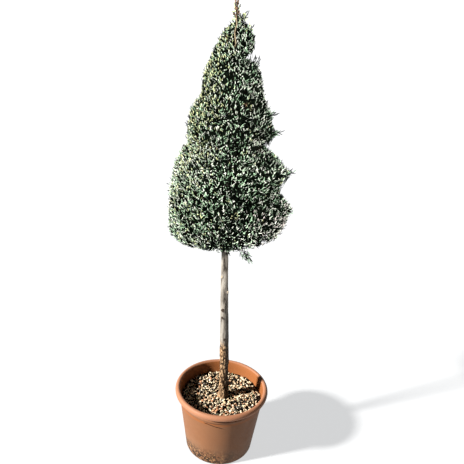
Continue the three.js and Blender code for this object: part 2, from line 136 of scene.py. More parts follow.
# Sprays: length, and radii of the stem and of the branchlets on it.
SPRAY_LENGTH = 48
STEM_RADIUS, BRANCHLET_RADIUS = 0.5, 0.82
STOUT = 0.62  # blades over this radius are full for half of their length
STOUT_WAISTS, FINE_WAISTS = (0.2, 0.72), (0.58,)
PIECE_BLADES = 16000  # the most blades in one piece

# Base colours of the branchlets. Shade and deep are near-black painted shade for the dark inside the crown;
# lit blush is near-white painted light.
TONES = {
    "glaucous": (0.61, 0.79, 0.58),
    "silver": (0.91, 0.96, 0.84),
    "green": (0.36, 0.57, 0.36),
    "olive": (0.65, 0.73, 0.38),
    "straw": (0.84, 0.86, 0.49),
    "lit_blush": (0.97, 0.89, 0.84),
    "shade": (0.007, 0.011, 0.007),
    "deep": (0.002, 0.003, 0.002),
    "dry": (0.21, 0.125, 0.07),
}
GLAUCOUS, SILVER, GREEN, OLIVE, STRAW, LIT_BLUSH, SHADE, DEEP_SHADE, DRY = range(len(TONES))
SECOND_SHARE = 0.36  # of the branchlets of a spray that take its second tone
SHADED_LOW, SHADED_HIGH = 0.58, 0.46  # share of the lowest and of the highest branchlets in shade

# Layers of sprays, the outermost first: share of the reach, its spread, sprays per square decimetre, and
# whether they lie in the dark, painted near-black as shade.
LAYERS = [
    (0.99, 0.015, 440, False), (0.945, 0.02, 36, True),
    (0.74, 0.05, 16, True), (0.52, 0.09, 11, True),
]
SQUARE_DECIMETRE = 1e4
PROUD_SHARE, PROUD_BY = 0.08, 0.05  # sprays that stand out, and by what share of the reach
SWAY_SIZE = 34  # over this length neighbouring sprays lean alike
# Patches of one tone: turn in degrees, height, half width and tone.
SPOTS = [
    (-63, 1238, 13, DRY), (-120, 1393, 10, DRY), (-152, 1085, 10, DRY),
    (-82, 946, 16, STRAW), (-72, 1068, 20, GLAUCOUS), (-118, 822, 13, STRAW),
]
# Hollows in the surface: turn in degrees, height, half width and depth.
HOLLOWS = [(-82, 905, 40, 13), (-60, 1010, 28, 9), (-120, 1085, 26, 8), (-35, 1105, 28, 12)]
# Loose shoots that the shears have left: turn in degrees, tip height and reach, rise and length.
SHOOTS = [
    (-20, 1456, 33, 66, 44), (-35, 1446, 21, 72, 36), (0, 1424, 48, 58, 34),
    (170, 1404, 37, 62, 34), (-6, 1346, 68, 84, 40), (-36, 754, 106, -50, 44),
    (-46, 768, 104, -42, 40), (-50, 756, 26, -55, 38), (-128, 764, 24, -55, 34),
    (-8, 1200, 134, 22, 48), (-14, 1152, 152, 16, 48), (-20, 1138, 138, -4, 44),
    (-12, 1078, 144, 30, 44), (-10, 1040, 197, 26, 48), (-14, 922, 202, 12, 48),
    (170, 962, 184, 24, 44), (176, 1152, 130, 30, 42),
]
# The sprays of one loose shoot: lean and lift in degrees, and how far each lies back.
SHOOT_SPRAYS = ((-30, 6, 9), (0, 0, 0), (26, -10, 12))
# Shoots round the leader: how many, lowest and highest tip, and the green share.
LEADER_SHOOTS, LEADER_LOW, LEADER_HIGH, LEADER_GREEN = 26, 1394, 1486, 0.6
SLIT_FROM = 1365  # over this height the front is open, so that the bare shoot shows

# Studio
PHOTO_WIDTH, FOCAL_PIXELS, SHIFT_PIXELS = 464, 540, 1.6
CAMERA_PLACE = (0, -1.5264, 1.4688)
CAMERA_DOWN, CAMERA_ROLL = 22.8, 3.25
SUN_SIDE, SUN_RISE = 68, 30.5
FILL_PLACE, FILL_AIM = Vector((1.7, -0.8, 1.7)), Vector((0.06, 0, 1.1))


# Numbers


def lerp(low, high, share):
    return low + (high - low) * share


def ease(value, low, high):
    """A smooth change from 0 at low to 1 at high."""
    share = np.clip((value - low) / (high - low), 0, 1)
    return share * share * (3 - 2 * share)


def size_of(vectors):
    return np.linalg.norm(vectors, axis=-1)


def unit(vectors):
    return vectors / size_of(vectors)[..., None]


def chance(*shape):
    return RANDOM.uniform(0, 1, shape)


def spokes(count):
    return np.linspace(0, FULL_TURN, count, endpoint=False)


def turn_from(turn, degrees):
    """The turn measured from another one, the short way round."""
    return (turn - math.radians(degrees) + math.pi) % FULL_TURN - math.pi


def polar(turn, radius, height):
    """Places given by their turn and distance about the upright axis and their height."""
    return np.stack(np.broadcast_arrays(radius * np.cos(turn), radius * np.sin(turn), height), axis=-1)


def heading(turn, rise, lean):
    """Outwards at a turn, lifted by rise and swung aside by lean, both in degrees."""
    rise = np.radians(rise)
    return polar(turn + np.radians(lean), np.cos(rise), np.sin(rise))


def lattice(x, y, z, seed):
    """An even random number from 0 to 1 for every whole-number place."""
    mixed = (x * 374761393 + y * 668265263 + z * 1442695041 + seed * 1274126177) & 0xFFFFFFFF
    mixed = ((mixed ^ (mixed >> 13)) * 1274126177) & 0xFFFFFFFF
    return ((mixed ^ (mixed >> 16)) & 0xFFFF) / 65535


def noise(places, seed):
    """Smooth random values from 0 to 1 over places given in steps of the wanted grain."""
    cell = np.floor(places).astype(np.int64)
    inside = places - cell
    inside = inside * inside * (3 - 2 * inside)
    total = 0
    for corner in np.ndindex(2, 2, 2):
        weight = np.prod(np.where(np.array(corner) == 1, inside, 1 - inside), axis=-1)
        at = cell + np.array(corner)
        total = total + weight * lattice(at[..., 0], at[..., 1], at[..., 2], seed)
    return total


def relief(x, y, z, wide, tall, seed):
    """Noise from -0.5 to 0.5 with features of one width and one height."""
    return noise(np.stack([x / wide, y / wide, z / tall], axis=-1), seed) - 0.5


def trunk_x(height):
    share = ease(height, TRUNK_FOOT, TRUNK_STRAIGHT_FROM)
    return lerp(TRUNK_FOOT_X, TRUNK_HEAD_X, share)


def trunk_radius(height):
    share = (height - TRUNK_FOOT) / (TRUNK_TIP - TRUNK_FOOT)
    flare = TRUNK_FLARE * np.exp((TRUNK_FOOT - np.maximum(height, TRUNK_FOOT)) / TRUNK_FLARE_LENGTH)
    return lerp(TRUNK_FOOT_RADIUS, TRUNK_TIP_RADIUS, share) + flare


def bark_radius(height):
    """The clear stem with its bark, which is thickest half way up."""
    bark = BARK_THICKNESS * ease(height, 230, 420) * ease(height, 1250, 950)
    return trunk_radius(height) + bark


def about_trunk(turn, radius, height):
    """As polar does, but about the trunk line."""
    return polar(turn, radius, height) + np.multiply.outer(trunk_x(height), (1, 0, 0))


# Meshes


def placed(name, data):
    """A new object in the scene."""
    made = bpy.data.objects.new(name, data)
    bpy.context.scene.collection.objects.link(made)
    return made


def mesh_object(name, parts, material, smooth=True):
    """One joined mesh from (corners, [face arrays]) parts in millimetres."""
    corners, starts, indices = [], [], []
    offset = loops = 0
    for places, face_sets in parts:
        for faces in face_sets:
            indices.append((faces + offset).ravel())
            starts.append(np.arange(loops, loops + faces.size, faces.shape[-1]))
            loops += faces.size
        corners.append(places.ravel())
        offset += places.size // 3
    corners = np.concatenate(corners) * MM
    mesh = bpy.data.meshes.new(name)
    mesh.vertices.add(offset)
    mesh.vertices.foreach_set("co", corners.astype(np.float32))
    mesh.loops.add(loops)
    mesh.loops.foreach_set("vertex_index", np.concatenate(indices).astype(np.int32))
    starts = np.concatenate(starts).astype(np.int32)
    mesh.polygons.add(len(starts))
    mesh.polygons.foreach_set("loop_start", starts)
    mesh.polygons.foreach_set("use_smooth", np.full(len(starts), smooth))
    mesh.update(calc_edges=True)
    mesh.validate()
    mesh.materials.append(material)
    return placed(name, mesh)


def piece(name, parts, material, nodes, smooth=True):
    """A joined mesh that is tied to the frame."""
    made = mesh_object(name, parts, material, smooth)
    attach(made, "root")
    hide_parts(*nodes)


def grid_faces(rows, columns):
    """Faces of a grid of corners that closes on itself across its columns."""
    row, column = np.meshgrid(np.arange(rows - 1), np.arange(columns), indexing="ij")
    beside = (column + 1) % columns
    below, above = row * columns, (row + 1) * columns
    faces = [below + column, below + beside, above + beside, above + column]
    return np.stack(faces, axis=-1).reshape(-1, 4)


def shell_faces(rows, columns):
    """Faces of a closed skin: such a grid with a flat face over its first and last rows."""
    around = np.arange(columns)[None]
    return [grid_faces(rows, columns), around[:, ::-1], (rows - 1) * columns + around]


def frames(forward):
    """Two directions square to each given one and to each other."""
    upright = np.abs(forward[..., 2:]) > 0.9
    helper = np.where(upright, (1.0, 0, 0), (0, 0, 1.0))
    across = unit(np.cross(helper, forward))
    return across, np.cross(forward, across)


def blades(roots, tips, radii, waists):
    """Closed three-sided blades, pointed at both ends and full at each waist."""
    count, rings = len(roots), len(waists)
    across, over = frames(unit(tips - roots))
    turn = RANDOM.uniform(0, FULL_TURN, (count, 1)) + spokes(3)
    offsets = np.cos(turn)[..., None] * across[:, None] + np.sin(turn)[..., None] * over[:, None]
    offsets = radii[:, None, None] * offsets
    ring = [lerp(roots, tips, waist)[:, None] + offsets for waist in waists]
    corners = np.concatenate([roots[:, None], *ring, tips[:, None]], axis=1)
    tip = 3 * rings + 1
    ends = []
    for side in range(3):
        beside = (side + 1) % 3
        ends += [(0, 1 + beside, 1 + side), (tip, tip - 3 + side, tip - 3 + beside)]
    first = (tip + 1) * np.arange(count)[:, None, None]
    return corners, [first + np.array(ends), first + 1 + grid_faces(rings, 3)]


def tubes(paths, radii, sides):
    """Closed tapering limbs: paths of (limbs, points, 3), with radii for each limb or the same for all."""
    limbs, points, _ = paths.shape
    radii = np.broadcast_to(radii, (limbs, points))
    along = unit(np.gradient(paths, axis=1))
    across, over = frames(along)
    turn = spokes(sides)
    offsets = np.cos(turn)[:, None] * across[:, :, None] + np.sin(turn)[:, None] * over[:, :, None]
    corners = paths[:, :, None] + radii[:, :, None, None] * offsets
    first = (np.arange(limbs) * points * sides)[:, None, None]
    return corners, [first + faces for faces in shell_faces(points, sides)]


# Materials


class Paint:
    """A node material with helpers that add nodes to it and return their outputs."""

    def __init__(self, name, roughness, specular):
        self.material = bpy.data.materials.new(name)
        self.material.use_nodes = True
        self.nodes = self.material.node_tree.nodes
        self.links = self.material.node_tree.links
        self.put("Roughness", roughness)
        self.put("Specular IOR Level", specular)
        self.place = self.node("TexCoord").outputs["Object"]

    def feed(self, target, source):
        """Give an input another node's output, or a plain value."""
        if isinstance(source, bpy.types.NodeSocket):
            self.links.new(source, target)
        else:
            target.default_value = source

    def put(self, name, source):
        """Feed one input of the shader."""
        self.feed(self.nodes["Principled BSDF"].inputs[name], source)

    def node(self, kind, **sources):
        """A new node with its inputs fed by name, with _ for a space."""
        made = self.nodes.new(f"ShaderNode{kind}")
        for name, source in sources.items():
            self.feed(made.inputs[name.replace("_", " ")], source)
        return made

    def worked(self, kind, operation, *sources):
        """The outputs of a node that calculates, with its inputs fed in order."""
        made = self.node(kind)
        made.operation = operation
        for target, source in zip(made.inputs, sources):
            self.feed(target, source)
        return made.outputs

    def grain(self, scale, detail=3, stretch=(1, 1, 1), rough=0.55):
        """Noise with features of 1 / scale metres, longer where stretch is under 1."""
        place = self.node("Mapping", Vector=self.place, Scale=stretch).outputs["Vector"]
        return self.node("TexNoise", Vector=place, Scale=scale, Detail=detail, Roughness=rough).outputs["Fac"]

    def step(self, source, low, high, top=1.0):
        """A smooth change from 0 at low to top at high."""
        change = self.node("MapRange", Value=source, From_Min=low, From_Max=high, To_Max=top)
        change.interpolation_type = "SMOOTHSTEP"
        return change.outputs["Result"]

    def times(self, first, second):
        return self.worked("Math", "MULTIPLY", first, second)["Value"]

    def band(self, source, rise, fall):
        """1 between two edges, each given as (where it is 0, where it is 1)."""
        return self.times(self.step(source, *rise), self.step(source, *fall))

    def part(self, axis):
        """One coordinate of the place on the piece."""
        return self.node("SeparateXYZ", Vector=self.place).outputs[axis]

    def along(self, direction):
        """The place measured along a direction."""
        return self.worked("VectorMath", "DOT_PRODUCT", self.place, direction)["Value"]

    def far(self):
        """Distance from the upright axis."""
        flat = self.worked("VectorMath", "MULTIPLY", self.place, (1, 1, 0))["Vector"]
        return self.worked("VectorMath", "LENGTH", flat)["Value"]

    def ramp(self, source, *stops):
        """Colours along a value: stops of (position, colour)."""
        ramp = self.node("ValToRGB", Fac=source)
        elements = ramp.color_ramp.elements
        while len(elements) < len(stops):
            elements.new(1.0)
        for element, (position, colour) in zip(elements, stops):
            element.position = position
            element.color = (*colour, 1)
        return ramp.outputs["Color"]

    def over(self, share, under, colour):
        """A colour or another output laid over an output where share says."""
        mix = self.node("Mix", Factor=share)
        mix.data_type = "RGBA"
        self.feed(mix.inputs[6], under)
        self.feed(mix.inputs[7], (*colour, 1) if isinstance(colour, tuple) else colour)
        return mix.outputs[2]

    def bump(self, source, height, strength):
        bump = self.node("Bump", Height=source, Distance=height, Strength=strength)
        self.put("Normal", bump.outputs["Normal"])


def toned(name, colour, roughness, spread, scale, specular):
    """A material of one colour that varies in tone from place to place."""
    paint = Paint(name, roughness, specular)
    darker = tuple(value * (1 - spread) for value in colour)
    lighter = tuple(value * (1 + spread) for value in colour)
    paint.put("Base Color", paint.ramp(paint.grain(scale), (0.3, darker), (0.7, lighter)))
    return paint.material


def pot_paint():
    paint = Paint("pot_plastic", 0.55, 0.15)
    height = paint.part("Z")
    clay = paint.ramp(paint.grain(11, 4), (0.3, (0.150, 0.065, 0.029)), (0.7, (0.174, 0.0755, 0.0335)))
    rim = paint.step(height, 0.214, 0.226)
    body = paint.over(rim, clay, (0.255, 0.115, 0.062))
    lining = paint.times(paint.step(paint.far(), 0.1452, 0.1438), paint.step(height, 0.19, 0.195))
    body = paint.over(lining, body, (0.195, 0.068, 0.021))
    faded = paint.times(paint.step(height, 0.13, 0.02, 0.75), paint.step(paint.grain(17, 5), 0.35, 0.7))
    body = paint.over(faded, body, (0.155, 0.088, 0.05))
    body = muddied(paint, body, height)
    paint.put("Base Color", crease_shade_and_highlight(paint, body, height))
    worn = paint.node("MapRange", Value=paint.grain(40, 4), To_Min=0.45, To_Max=0.7)
    paint.put("Roughness", worn.outputs["Result"])
    paint.bump(paint.grain(260, 3), 0.0006, 0.35)
    return paint.material


def muddied(paint, body, height):
    """Mud splashed up the left of the pot's foot, dark and in places dried to chalk."""
    low = paint.times(paint.step(height, 0.085, 0.025), paint.step(paint.part("X"), 0.1, -0.03))
    splash = paint.times(low, paint.step(paint.grain(85, 5, rough=0.75), 0.45, 0.485))
    body = paint.over(splash, body, (0.026, 0.014, 0.007))
    chalk = paint.times(low, paint.step(paint.grain(120, 4, rough=0.7), 0.57, 0.61))
    return paint.over(chalk, body, (0.34, 0.18, 0.075))


def crease_shade_and_highlight(paint, body, height):
    """Painted shade in the gap under the shoulder, and a painted shadow and a painted highlight along the
    fold below it.
    """
    along, across = paint.part("X"), paint.along((CREASE_FALL, 0, 1))
    front = paint.step(paint.part("Y"), -0.05, -0.1)
    ends = paint.times(paint.band(along, (0.024, 0.004), (-0.054, -0.044)), front)
    # Painted shade in the gap, a painted shadow under the fold and a painted highlight on its lit edge.
    gap_shade = paint.band(height, (0.2016, 0.2028), (0.2062, 0.2050))
    shadow = paint.band(across, (0.1830, 0.1848), (0.1882, 0.1866))
    ridge_highlight = paint.band(across, (0.1876, 0.1890), (0.1912, 0.1898))
    colours = (0.02, 0.009, 0.005), (0.018, 0.008, 0.004), (0.27, 0.105, 0.038)
    for line, colour in zip((gap_shade, shadow, ridge_highlight), colours):
        body = paint.over(paint.times(line, ends), body, colour)
    return body


def bark_paint():
    """Grey strands, red-brown flakes at the foot, painted shade on the side away from the sun, tan and then
    brown near the tip.
    """
    paint = Paint("bark", 0.85, 0.2)
    height = paint.part("Z")
    strands = paint.grain(130, 5, (1, 1, 0.16), 0.65)
    greys = (0.026, 0.021, 0.016), (0.143, 0.126, 0.106), (0.25, 0.23, 0.2)
    stem = paint.ramp(strands, *zip((0.37, 0.47, 0.65), greys))
    flakes = paint.grain(230, 3, (1, 1, 0.5), 0.6)
    browns = (0.014, 0.007, 0.003), (0.135, 0.07, 0.03), (0.37, 0.25, 0.145)
    flaky = paint.ramp(flakes, *zip((0.43, 0.5, 0.6), browns))
    stem = paint.over(paint.step(height, 0.45, 0.405), stem, flaky)
    # Painted shade: the bark is darkened on the side away from the sun.
    painted_shade_side = paint.step(paint.along((1, 0, 0.0316)), 0.0125, 0.0225, 0.75)
    stem = paint.over(painted_shade_side, stem, (0.022, 0.019, 0.016))
    stem = paint.over(paint.step(height, 1.0, 1.3), stem, (0.22, 0.175, 0.11))
    stem = paint.over(paint.step(height, 1.43, 1.455), stem, (0.19, 0.115, 0.07))
    paint.put("Base Color", stem)
    paint.bump(paint.grain(420, 4, (1, 1, 0.3)), 0.0009, 0.5)
    return paint.material


def soil_paint():
    paint = Paint("soil", 0.95, 0)
    # Painted shade: the soil is near-black, darker than damp soil, for the dark gaps between the chips.
    soil = paint.ramp(paint.grain(160, 5), (0.35, (0.004, 0.003, 0.002)), (0.7, (0.02, 0.015, 0.01)))
    paint.put("Base Color", soil)
    paint.bump(paint.grain(300, 4), 0.002, 0.8)
    return paint.material


# Pot


def arc(centre, radii, start, end, steps):
    turn = np.radians(np.linspace(start, end, steps + 1))
    return np.stack([centre[0] + radii[0] * np.cos(turn), centre[1] + radii[1] * np.sin(turn)], axis=-1)


def pot_wall(height):
    return lerp(POT_BASE, POT_WALL_TOP, (height - POT_CORNER) / (POT_HEIGHT - POT_RIM_HEIGHT - POT_CORNER))


def wall_part(low, high, steps, stand=0):
    """A stretch of the wall's section, standing so far out from the wall's line."""
    heights = np.linspace(low, high, steps + 1)
    return np.stack([pot_wall(heights) + stand, heights], axis=-1)


def pot_profile():
    """The section from the middle of the underside over the rolled rim to the middle of the floor."""
    under = POT_HEIGHT - POT_RIM_HEIGHT
    shoulder = under - POT_SHOULDER_DROP
    lip = under - 6
    middle = POT_RIM_RADIUS - POT_RIM_WIDTH / 2
    bead = (POT_RIM_WIDTH / 2, POT_RIM_HEIGHT / 2)
    base = [(POT_CENTRE, 0), (POT_FLAT, 0)]
    foot = arc((POT_BASE - POT_CORNER, POT_CORNER), (POT_CORNER, POT_CORNER), -90, 0, 6)
    plain = wall_part(POT_CORNER + 6, 172, 10)
    folded = wall_part(173.5, shoulder, 20)
    step = wall_part(shoulder + 1.4, lip - 4.4, 9, POT_SHOULDER_STEP)
    groove = wall_part(lip - 3.8, lip - 0.8, 2, -2.4)
    collar = wall_part(lip, under - 1, 3, POT_SHOULDER_STEP + 0.8)
    rim = arc((middle, under + bead[1]), bead, -100, 150, 22)
    inside = wall_part(under, POT_FLOOR, 12, -POT_WALL)
    floor = [(POT_FLAT, POT_FLOOR), (POT_CENTRE, POT_FLOOR)]
    return np.concatenate([base, foot, plain, folded, step, groove, collar, rim, inside, floor])


def crease_depth(turn, radius, height):
    """How far the fold presses in the outer side of the wall."""
    (first, top), (last, foot) = CREASE
    share = (turn - math.radians(first) - FULL_TURN) / math.radians(last - first)
    fold = np.exp(-(((height - lerp(top, foot, share)) / CREASE_HALF) ** 2))
    ends = ease(share, 0, 0.1) * ease(share, 1, 0.7)
    return CREASE_DEPTH * fold * ends * (radius > pot_wall(height) - 0.5)


def make_pot():
    profile = pot_profile()
    turn = spokes(POT_SIDES)
    radius = np.repeat(profile[:, :1], POT_SIDES, axis=1)
    height = np.repeat(profile[:, 1:], POT_SIDES, axis=1)
    # The thin wall has gone slightly out of round.
    bulge = np.cos(2 * turn + 0.7) * 0.7 + np.cos(3 * turn - 0.4) * 0.4
    bulge = bulge * ease(height, 20, 230) * (radius > POT_FLAT + 1)
    radius = radius + bulge - crease_depth(turn, radius, height)
    shell = (polar(turn, radius, height), shell_faces(len(profile), POT_SIDES))
    piece("pot_shell", [shell], pot_paint(), ["pot"])


# Gravel


def gravel_edge():
    """Radius of the gravel, just clear of the pot's wall."""
    return pot_wall(GRAVEL_TOP) - POT_WALL - 0.4


def soil_lift(x, y):
    return SOIL_RELIEF * relief(x, y, 0 * x, SOIL_GRAIN, SOIL_GRAIN, 3)


def make_soil():
    radius = np.linspace(gravel_edge(), 1, SOIL_RINGS)[:, None]
    turn = spokes(SOIL_SIDES)
    lift = soil_lift(radius * np.cos(turn), radius * np.sin(turn))
    top = polar(turn, radius, GRAVEL_TOP - 4 + lift)
    low = top[:1] * (0.97, 0.97, 0) + (0, 0, GRAVEL_TOP - SOIL_DEPTH)
    soil = (np.concatenate([low, top]), shell_faces(SOIL_RINGS + 1, SOIL_SIDES))
    piece("soil_top", [soil], soil_paint(), ["substrate"])


def chip_corners():
    """The twelve corners of a regular stone of twenty faces."""
    corners = [(0, a, b * GOLDEN_RATIO) for a in (-1, 1) for b in (-1, 1)]
    return unit(np.array([np.roll(corner, shift) for shift in range(3) for corner in corners]))


def chip_faces(corners):
    """The twenty faces of such a stone, seen from outside."""
    edge = size_of(corners[0] - corners[1:]).min() * 1.05
    found = []
    for a, b, c in combinations(range(len(corners)), 3):
        p, q, r = corners[[a, b, c]]
        if max(size_of(p - q), size_of(q - r), size_of(r - p)) < edge:
            outward = np.dot(np.cross(q - p, r - p), p + q + r) > 0
            found.append((a, b, c) if outward else (a, c, b))
    return np.array(found)


def turned(places, axis, angle):
    """Groups of places, each group turned about one axis by its own angle."""
    cos, sin = np.cos(angle)[:, None], np.sin(angle)[:, None]
    first, second = [number for number in range(3) if number != axis]
    result = places.copy()
    result[..., first] = cos * places[..., first] - sin * places[..., second]
    result[..., second] = sin * places[..., first] + cos * places[..., second]
    return result


def chip_spread():
    """A loosened even spread of chips over the soil, clear of the trunk and the wall."""
    edge = gravel_edge()
    number = np.arange(CHIPS)
    radius = np.sqrt((number + 0.5) / CHIPS) * (edge - 5)
    turn = number * GOLDEN_TURN + RANDOM.normal(0, 0.05, CHIPS)
    x = radius * np.cos(turn) + RANDOM.normal(0, 2, CHIPS)
    y = radius * np.sin(turn) + RANDOM.normal(0, 2, CHIPS)
    clear = np.hypot(x - TRUNK_FOOT_X, y) > trunk_radius(TRUNK_FOOT) - 1
    kept = clear & (np.hypot(x, y) < edge - 3)
    return x[kept], y[kept]


def chip_places(x, y, corners):
    """The corners of every chip: uneven stones, tipped a little and turned any way."""
    count = len(x)
    long = RANDOM.gamma(10, 0.48, count).clip(2.6, 8.8)
    wide = long * RANDOM.uniform(0.38, 0.66, count)
    thick = long * RANDOM.uniform(0.28, 0.5, count)
    uneven = RANDOM.uniform(0.72, 1.18, (count, len(corners), 1))
    stones = corners[None] * uneven * np.stack([long, wide, thick], axis=-1)[:, None]
    spin = RANDOM.uniform(0, FULL_TURN, count)
    lean = RANDOM.normal(0, 0.45, count)
    tilt = RANDOM.normal(0, 0.45, count)
    for axis, angle in enumerate((tilt, lean, spin)):
        stones = turned(stones, axis, angle)
    z = GRAVEL_TOP - 3.5 + soil_lift(x, y) + RANDOM.uniform(-1, 8, count)
    return stones + np.stack([x, y, z], axis=-1)[:, None]


def make_gravel():
    make_soil()
    corners = chip_corners()
    faces = chip_faces(corners)
    x, y = chip_spread()
    places = chip_places(x, y, corners)
    shares = np.array([share for _, share in CHIP_KINDS.values()])
    kind = RANDOM.choice(len(CHIP_KINDS), len(x), p=shares / shares.sum())
    patch = np.hypot(x - PINK_X, y - PINK_Y) < PINK_RADIUS
    pink = patch & (chance(len(x)) < PINK_SHARE)
    kind = np.where(pink, list(CHIP_KINDS).index("pink"), kind)
    for number, (name, (colour, _)) in enumerate(CHIP_KINDS.items()):
        chosen = places[kind == number]
        first = len(corners) * np.arange(len(chosen))[:, None, None]
        paint = toned(f"gravel_{name}", colour, 0.9, 0.25, 240, 0.2)
        parts = [(chosen, [first + faces])]
        piece(f"gravel_{name}", parts, paint, ["substrate"], smooth=False)


# Trunk


def trunk_relief(turn, radius, z):
    """Strands, knobs and grain of the bark, plates at the foot, and swellings under the scars."""
    x, y = radius * np.cos(turn), radius * np.sin(turn)
    thick = np.minimum(1, radius / 9)
    strands = relief(x, y, z, 3.2, 34, 5)
    knobs = relief(x, y, z, 9, 22, 6)
    plates = ease(relief(x, y, z, 5.5, 15, 7), -0.08, 0.1) - 0.5
    grain = relief(x, y, z, 1.6, 4, 8)
    low = ease(z, 450, 330)
    total = thick * (strands + 1.3 * knobs + 0.5 * grain) + 2.4 * low * plates
    for height, degrees, size, _ in KNOTS:
        far = np.hypot(turn_from(turn, degrees) * radius, (z - height) * 0.8) / size
        total = total + 1.8 * np.exp(-((far / 1.25) ** 2))
    return total


def knot(height, degrees, size):
    """A healed cut: a low collar round a hollow, standing square on the trunk."""
    turn = math.radians(degrees)
    out, side = polar(turn, 1, 0), polar(turn - FRONT, 1, 0)
    foot = about_trunk(turn, bark_radius(height) - 1.2, height)
    around = spokes(KNOT_SIDES)[:, None]
    wavy = size * (1 + 0.12 * np.cos(3 * around + height))
    ring = wavy * (np.cos(around) * side + 1.2 * np.sin(around) * (0, 0, 1))
    rows = [foot + stand * out + share * ring for share, stand in KNOT_PROFILE]
    return np.concatenate(rows), shell_faces(len(KNOT_PROFILE), KNOT_SIDES)


def make_trunk(bark):
    # Close rows on the clear stem, wide ones in the crown.
    heights = np.concatenate([np.arange(194, 780, 2.2), np.arange(780, 1472, 7), [1476, TRUNK_TIP]])
    turn = spokes(TRUNK_SIDES)
    radius = bark_radius(heights)[:, None]
    z = heights[:, None] + 0 * turn
    places = about_trunk(turn, radius + trunk_relief(turn, radius, z), z)
    skin = (places, shell_faces(len(heights), TRUNK_SIDES))
    piece("trunk_bark", [skin], bark, ["trunk"])
    for dark, name, colour in ((True, "knots", (0.035, 0.024, 0.017)), (False, "scars", (0.31, 0.255, 0.19))):
        parts = [knot(*row[:3]) for row in KNOTS if row[3] == dark]
        paint = toned(f"bark_{name}", colour, 0.9, 0.4, 500, 0.15)
        piece(f"trunk_{name}", parts, paint, ["trunk"])


# Space of the crown


def reach(turn, height):
    """How far the foliage reaches: the table's two sides, and between them an even swell."""
    wavy = height + 9 * np.sin(4 * turn)
    left, right = np.interp(wavy, LEVELS, LEFT_REACH), np.interp(wavy, LEVELS, RIGHT_REACH)
    even = sum(np.interp(height + shift, LEVELS, MEAN_REACH) for shift in EVEN_SHIFTS) / len(EVEN_SHIFTS)
    return lerp(even, np.where(np.cos(turn) < 0, left, right), np.abs(np.cos(turn)) ** 2)


def joint(tier, radius):
    """Height of the sloping joint under a ring of masses."""
    low, slope, *_ = TIERS[tier]
    return low - slope * (np.interp(low, LEVELS, MEAN_REACH) - radius)


def underside(turn, radius):
    """Height of the crown's lower face, a shallow cone that lies highest on the right."""
    rim = UNDERSIDE_HEIGHT + 14 * np.cos(turn) - 6 * np.sin(turn) + 8 * np.cos(turn) ** 2
    return rim - UNDERSIDE_SLOPE * (UNDERSIDE_RADIUS - radius)


class Mass:
    """The space of one foliage mass, as in the CAD source: a sector of a ring between two joints."""

    def __init__(self, tier, number):
        self.tier, self.number = tier, number
        _, _, masses, first, self.inner = TIERS[tier]
        self.half = math.pi / masses
        self.middle = math.radians(first) + 2 * self.half * number
        self.stagger = ((2 * number) % masses) / masses - 0.5

    def height(self, turn, radius, share):
        low = joint(self.tier, radius) if self.tier else underside(turn, radius)
        return lerp(low, joint(self.tier + 1, radius), share)

    def outline(self, turn, share):
        """The reach at a share of the mass's height, found step by step."""
        radius = 120
        for _ in range(12):
            radius = lerp(radius, reach(turn, self.height(turn, radius, share)), 0.5)
        return radius

    def profile(self):
        """Shares of the height, the way along the outline up to each, and the mean radius."""
        shares = np.linspace(0, 1, 60)
        radius = self.outline(self.middle, shares)
        steps = np.hypot(np.diff(radius), np.diff(self.height(self.middle, radius, shares)))
        return shares, np.concatenate([[0], np.cumsum(steps)]), radius.mean()


MASSES = [Mass(tier, number) for tier in range(len(TIERS) - 1) for number in range(TIERS[tier][2])]


def hollowed(turn, outline, height):
    """How far the surface lies back at its hollows."""
    depth = 0
    for degrees, level, half, deep in HOLLOWS:
        far = np.hypot(turn_from(turn, degrees) * outline, height - level) / half
        depth = depth + deep * np.exp(-(far**2))
    return depth


def sheared(places, margin=0):
    """Which places lie within the clipped outline by a margin, and off the slit in the front of the top."""
    x, y, z = places.T
    turn = np.arctan2(y, x - trunk_x(z))
    radius = np.hypot(x - trunk_x(z), y)
    low = underside(turn, np.maximum(radius, 25)) - 10 * noise(places / 20, 37)
    ragged = 15 * noise(places / 8, 29) + 14 * noise(places / 26, 31) - 10
    inside = (radius < 1.02 * reach(turn, z) + ragged - margin) & (z > low + margin)
    slit = (z > SLIT_FROM) & (y < 0) & (np.abs(x + 0.6 - trunk_x(z)) < trunk_radius(z) + 0.8)
    return inside & ~slit


# Limbs


def bough_path(mass):
    """From the trunk up and out into the mass."""
    outer = mass.outline(mass.middle, 0.5)
    within = lerp(mass.inner, outer, 0.35)
    foot = mass.height(mass.middle, within, 0.5) - BOUGH_RISE * within + 42 * mass.stagger
    share = np.linspace(0, 0.74, BOUGH_POINTS)
    radius = share * outer
    bend = math.sin(3.1 * mass.number + mass.tier) * 0.12
    return about_trunk(mass.middle + bend * share, radius, foot + BOUGH_RISE * radius + 0.0011 * radius**2)


def limb_paths():
    """Boughs of all the masses, and side limbs that spread from them through each mass."""
    boughs = np.stack([bough_path(mass) for mass in MASSES])
    limbs = []
    for mass, bough in zip(MASSES, boughs):
        for number in range(SIDE_LIMBS):
            across = 1.5 * ((0.5 + number * SPACING_U) % 1 - 0.5)
            share = 0.12 + 0.76 * ((0.5 + number * SPACING_V) % 1)
            turn = mass.middle + mass.half * across
            radius = 0.7 * mass.outline(turn, share)
            end = about_trunk(turn, radius, mass.height(turn, radius, share) + 8)
            start = bough[1 + number % 3]
            middle = lerp(start, end, 0.5) - (0, 0, 7)
            limbs.append([start, lerp(start, middle, 0.6), middle, end])
    return boughs, np.array(limbs)


def bare_shoot():
    """A pale shoot that has lost its leaves: out of the crown and up its front, close to the leader."""
    height = np.linspace(1356, 1446, SHOOT_POINTS)
    radius = (reach(FRONT, height) + 2) * ease(height, 1340, 1384)
    turn = 1.8 * np.sin(height / 7.5) / radius + FRONT
    return about_trunk(turn, radius, height)[None], np.linspace(1.6, 1.1, SHOOT_POINTS)


